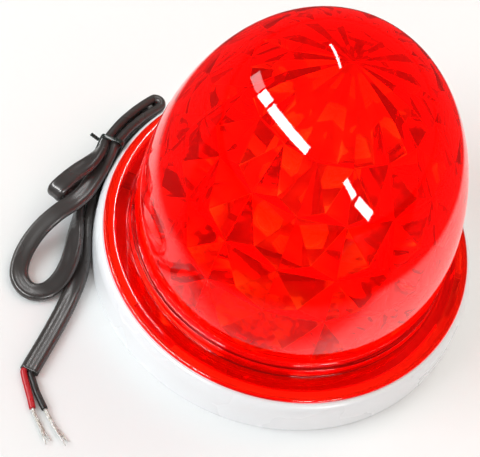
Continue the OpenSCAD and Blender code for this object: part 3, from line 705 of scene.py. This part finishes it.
def lensPlastic():
    material, tree, shader = newMaterial(
        "lensPlastic", lens["tint"], 0.0, IOR=1.5, Transmission_Weight=1.0, Specular_IOR_Level=0.5
    )
    # the lens's emission is painted glow, standing in for light scattered inside the red plastic
    shader.inputs["Emission Color"].default_value = lens["paintedGlow"]
    shader.inputs["Emission Strength"].default_value = lens["paintedGlowStrength"]
    absorb = tree.nodes.new("ShaderNodeVolumeAbsorption")
    absorb.inputs["Color"].default_value = lens["depthColour"]
    absorb.inputs["Density"].default_value = lens["depthDensity"]
    tree.links.new(absorb.outputs["Volume"], tree.nodes["Material Output"].inputs["Volume"])
    bumpFrom(tree, shader, noiseOn(tree, 60, 2), 0.03, 0.0004)
    return material


# Lugs of the bayonet on the outside of the skirt
def addLugs(shape):
    half = math.radians(lens["lugDeg"] / 2)
    inner, outer = lens["skirtR"] - lens["lugIn"], lens["lugR"]
    low, high = lens["skirtBottom"], lens["lugTop"]
    steps = lens["lugSteps"]
    for lug in range(lens["lugCount"]):
        middle = math.tau * lug / lens["lugCount"] - math.radians(lens["lugTurn"])
        rings = []
        for step in range(steps + 1):
            turn = middle + half * (2 * step / steps - 1)
            rings.append([
                shape.verts.new((r * math.cos(turn) * mm, r * math.sin(turn) * mm, z * mm))
                for r, z in ((inner, low), (outer, low), (outer, high), (inner, high))
            ])
        for first, second in zip(rings, rings[1:]):
            for k in range(4):
                shape.faces.new((first[k], first[(k + 1) % 4], second[(k + 1) % 4], second[k]))
        shape.faces.new(rings[0][::-1])
        shape.faces.new(rings[-1])


def buildLens():
    shape = bmesh.new()
    spinProfile(shape, lensProfile(), lens["turns"])
    for face in shape.faces:
        face.smooth = True
    openEdges = [edge for edge in shape.edges if edge.is_boundary]
    facets = bmesh.new()
    facetColumn(facets)
    copies = lens["columns"] - 1
    bmesh.ops.spin(
        facets, geom=facets.verts[:] + facets.edges[:] + facets.faces[:], cent=(0, 0, 0), axis=(0, 0, 1),
        angle=math.tau * copies / lens["columns"], steps=copies, use_duplicate=True,
    )
    bmesh.ops.remove_doubles(facets, verts=facets.verts[:], dist=0.01 * mm)
    ridges = [edge for edge in facets.edges if not edge.is_boundary]
    bmesh.ops.bevel(
        facets, geom=ridges, offset=lens["ridgeRound"] * mm, affect="EDGES", segments=2, profile=0.5,
        material=-1, clamp_overlap=True,
    )
    for face in facets.faces:
        face.smooth = True
    spare = bpy.data.meshes.new("facets")
    facets.to_mesh(spare)
    facets.free()
    shape.from_mesh(spare)
    bpy.data.meshes.remove(spare)
    footEdges = [edge for edge in shape.edges if edge.is_boundary and edge not in openEdges]
    bmesh.ops.bridge_loops(shape, edges=openEdges + footEdges)
    addLugs(shape)
    bmesh.ops.recalc_face_normals(shape, faces=shape.faces[:])
    print("lens open edges:", sum(1 for edge in shape.edges if edge.is_boundary))
    piece = newPiece("lensDome", shape, lensPlastic(), "lens", 30)
    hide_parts("lens_dome")


buildLens()
print("lens made")


# Finishes of the carried-over nodes
def whitePlastic():
    material, tree, shader = newMaterial("whitePlastic", srgb(248, 248, 250), 0.26)
    roughFrom(tree, shader, noiseOn(tree, 40, 3), 0.24, 0.3)
    bumpFrom(tree, shader, noiseOn(tree, 900, 2), 0.02, 0.00003)
    return material


def sealRubber():
    material, tree, shader = newMaterial("sealRubber", srgb(38, 37, 38), 0.6)
    colourFrom(tree, shader, noiseOn(tree, 300, 4), srgb(30, 30, 31), srgb(48, 46, 46))
    bumpFrom(tree, shader, noiseOn(tree, 2500, 3), 0.2, 0.0001)
    return material


def boardGreen():
    material, tree, shader = newMaterial("boardGreen", srgb(20, 84, 48), 0.35)
    colourFrom(tree, shader, noiseOn(tree, 120, 5), srgb(16, 70, 40), srgb(30, 104, 62))
    return material


def boardWhite():
    material, tree, shader = newMaterial("boardWhite", srgb(236, 234, 228), 0.4)
    colourFrom(tree, shader, noiseOn(tree, 200, 4), srgb(226, 224, 216), srgb(242, 241, 238))
    return material


def deckSilver():
    material, tree, shader = newMaterial("deckSilver", srgb(240, 238, 236), 0.12, Metallic=1.0)
    bumpFrom(tree, shader, noiseOn(tree, 150, 2), 0.5, 0.001)
    return material


def lampYellowPaintedGlow():
    material, tree, shader = newMaterial("lampYellowPaintedGlow", srgb(236, 208, 110), 0.25, Coat_Weight=0.6)
    colourFrom(tree, shader, noiseOn(tree, 700, 2), srgb(226, 190, 84), srgb(244, 226, 150))
    # painted glow: the LEDs are unlit, and this warm emission stands in for orange glints seen through the
    # lens
    shader.inputs["Emission Color"].default_value = (1, 0.72, 0.2, 1)
    shader.inputs["Emission Strength"].default_value = 0.55
    return material


def steelScrew():
    material, tree, shader = newMaterial("steelScrew", srgb(190, 190, 194), 0.3, Metallic=1.0)
    roughFrom(tree, shader, noiseOn(tree, 1200, 4), 0.22, 0.42)
    bumpFrom(tree, shader, noiseOn(tree, 3000, 2), 0.1, 0.00005)
    return material


def plainPlastic(name, dark, light, low, high):
    material, tree, shader = newMaterial(name, dark, low)
    colourFrom(tree, shader, noiseOn(tree, 400, 4), dark, light)
    roughFrom(tree, shader, noiseOn(tree, 700, 3), low, high)
    return material


def dress():
    partBlack = plainPlastic("partBlack", srgb(30, 30, 32), srgb(44, 44, 46), 0.4, 0.55)
    board = boardWhite()
    lamp = lampYellowPaintedGlow()
    steel = steelScrew()
    rubber = sealRubber()
    sheath = leadBlack()
    finishes = {
        "base_housing": whitePlastic(),
        "lens_gasket": plainPlastic("sealWhite", srgb(214, 210, 206), srgb(228, 225, 222), 0.45, 0.6),
        "main_board": boardGreen(),
        "board_screws": steel,
        "reflector_deck": deckSilver(),
        "column_core": board,
        "strip_boards": board,
        "side_leds": lamp,
        "cap_board": board,
        "cap_leds": lamp,
        "smoothing_capacitor": plainPlastic("capacitorBlue", srgb(28, 36, 96), srgb(40, 50, 120), 0.25, 0.35),
        "rectifier_diodes": partBlack,
        "flasher_chip": partBlack,
        "chip_pins": steel,
        "drive_transistor": partBlack,
        "resistors": plainPlastic("resistorTan", srgb(196, 166, 116), srgb(214, 188, 142), 0.35, 0.5),
        "terminal_block": plainPlastic("blockGreen", srgb(30, 120, 66), srgb(42, 140, 80), 0.3, 0.45),
        "terminal_screws": steel,
        "cable_grommet": rubber,
        "cable_clamp": partBlack,
        "clamp_screws": steel,
        "inner_sheath": sheath,
        "inner_red_core": coreRed,
        "inner_black_core": coreBlack,
    }
    for name, material in finishes.items():
        mesh = nodes[name].data
        mesh.materials.clear()
        mesh.materials.append(material)


dress()
print("nodes dressed")

# Floor, lamps and surroundings
studio = {
    "floorSize": 6.0,
    "floorColour": srgb(252, 252, 252),
    # painted shade seen only in reflections: how much of the floor gloss shows, less towards the front and
    # far out; from, to, share there and there, in metres
    "mirrorFront": (-0.067, -0.048, 0.16, 0.95),
    "mirrorReach": (0.09, 0.106, 1, 0.05),
    "mirrorShift": (-0.015, 0, 0),
    "soft": (1.0, 0.965, 0.935),  # colour of the surroundings that light the surfaces
    "softPower": 0.6,
    "room": 0.05,  # dim room that gloss shows
    "middle": (0, 0, 0.05),
    "bounces": 24,
    "glossyBounces": 16,
    "stripDistance": 1.0,
    "softboxDistance": 1.4,
    "strips": [
        # azimuth and height of both ends in degrees, width, radiance
        ((164, 14), (180, 23.5), 0.1, 5),
        ((-178, 24), (-164, 31), 0.11, 26),
        ((-161, 31.5), (-101, 36.5), 0.1, 28),
        ((117, 40), (115, 70), 0.035, 24),
        ((-60, 25), (-51, 15), 0.07, 26),
        ((-49, 13), (-38, 3), 0.09, 26),
    ],
    "softboxes": [
        # azimuth, height, size, radiance, colour; kept out of reflections
        (-150, 36, 0.9, 4.35, (0.86, 0.96, 1.0)),
        (60, 50, 0.9, 2.2, (1.0, 0.93, 0.83)),
    ],
}


def floorPaper():
    material, tree, shader = newMaterial("floorPaper", studio["floorColour"], 0.9, Specular_IOR_Level=0.1)
    coords = tree.nodes.new("ShaderNodeTexCoord")
    parts = tree.nodes.new("ShaderNodeSeparateXYZ")
    reach = tree.nodes.new("ShaderNodeVectorMath")
    reach.operation = "LENGTH"
    path = tree.nodes.new("ShaderNodeLightPath")
    tree.links.new(coords.outputs["Object"], parts.inputs[0])
    shift = tree.nodes.new("ShaderNodeMapping")
    shift.inputs["Location"].default_value = studio["mirrorShift"]
    tree.links.new(coords.outputs["Object"], shift.inputs["Vector"])
    tree.links.new(shift.outputs["Vector"], reach.inputs[0])
    # painted shade: to glossy rays the floor is darkened towards the front and away from the middle
    front = mapRange(tree, parts.outputs["Y"], *studio["mirrorFront"])
    around = mapRange(tree, reach.outputs["Value"], *studio["mirrorReach"])
    hidden = mathOn(tree, "SUBTRACT", 1, mathOn(tree, "MULTIPLY", front, around))
    shown = mathOn(tree, "SUBTRACT", 1, mathOn(tree, "MULTIPLY", path.outputs["Is Glossy Ray"], hidden))
    scale = tree.nodes.new("ShaderNodeVectorMath")
    scale.operation = "SCALE"
    scale.inputs[0].default_value = studio["floorColour"][:3]
    tree.links.new(shown, scale.inputs["Scale"])
    tree.links.new(scale.outputs["Vector"], shader.inputs["Base Color"])
    return material


def buildFloor():
    shape = bmesh.new()
    bmesh.ops.create_grid(shape, x_segments=1, y_segments=1, size=studio["floorSize"] / 2)
    mesh = bpy.data.meshes.new("floor")
    shape.to_mesh(mesh)
    shape.free()
    floor = bpy.data.objects.new("floor", mesh)
    mesh.materials.append(floorPaper())
    scene.collection.objects.link(floor)


def aim(azimuth, height):
    azimuth, height = math.radians(azimuth), math.radians(height)
    level = math.cos(height)
    return Vector((level * math.cos(azimuth), level * math.sin(azimuth), math.sin(height)))


def addLamp(name, middle, along, size, radiance, colour=(1, 1, 1)):
    data = bpy.data.lights.new(name, "AREA")
    data.shape = "RECTANGLE"
    data.size, data.size_y = size
    data.energy = radiance * math.pi * size[0] * size[1]
    data.color = colour
    lamp = bpy.data.objects.new(name, data)
    out = middle.normalized()
    across = out.cross(along).normalized()
    lamp.matrix_world = Matrix((across.cross(out), across, out)).transposed().to_4x4()
    lamp.location = Vector(studio["middle"]) + middle
    scene.collection.objects.link(lamp)
    return lamp


def addLamps():
    for index, (first, second, width, radiance) in enumerate(studio["strips"]):
        start, end = (aim(*degrees) * studio["stripDistance"] for degrees in (first, second))
        along = end - start
        lamp = addLamp(f"stripLamp{index}", (start + end) / 2, along, (along.length, width), radiance)
        lamp.visible_diffuse = False
    for index, (azimuth, height, size, radiance, colour) in enumerate(studio["softboxes"]):
        place = aim(azimuth, height) * studio["softboxDistance"]
        lamp = addLamp(f"softbox{index}", place, Vector((0, 0, 1)), (size, size), radiance, colour)
        lamp.visible_glossy = False


def addWorld():
    world = bpy.data.worlds.new("studio")
    scene.world = world
    world.use_nodes = True
    tree = world.node_tree
    background = tree.nodes["Background"]
    path = tree.nodes.new("ShaderNodeLightPath")
    level = mapRange(tree, path.outputs["Is Glossy Ray"], 0, 1, studio["softPower"], studio["room"])
    tree.links.new(level, background.inputs["Strength"])
    background.inputs["Color"].default_value = (*studio["soft"], 1)


buildFloor()
addLamps()
addWorld()
scene.cycles.max_bounces = studio["bounces"]
scene.cycles.glossy_bounces = studio["glossyBounces"]
scene.cycles.transmission_bounces = studio["bounces"]
scene.view_settings.view_transform = "Standard"
print("floor, lamps and surroundings made")
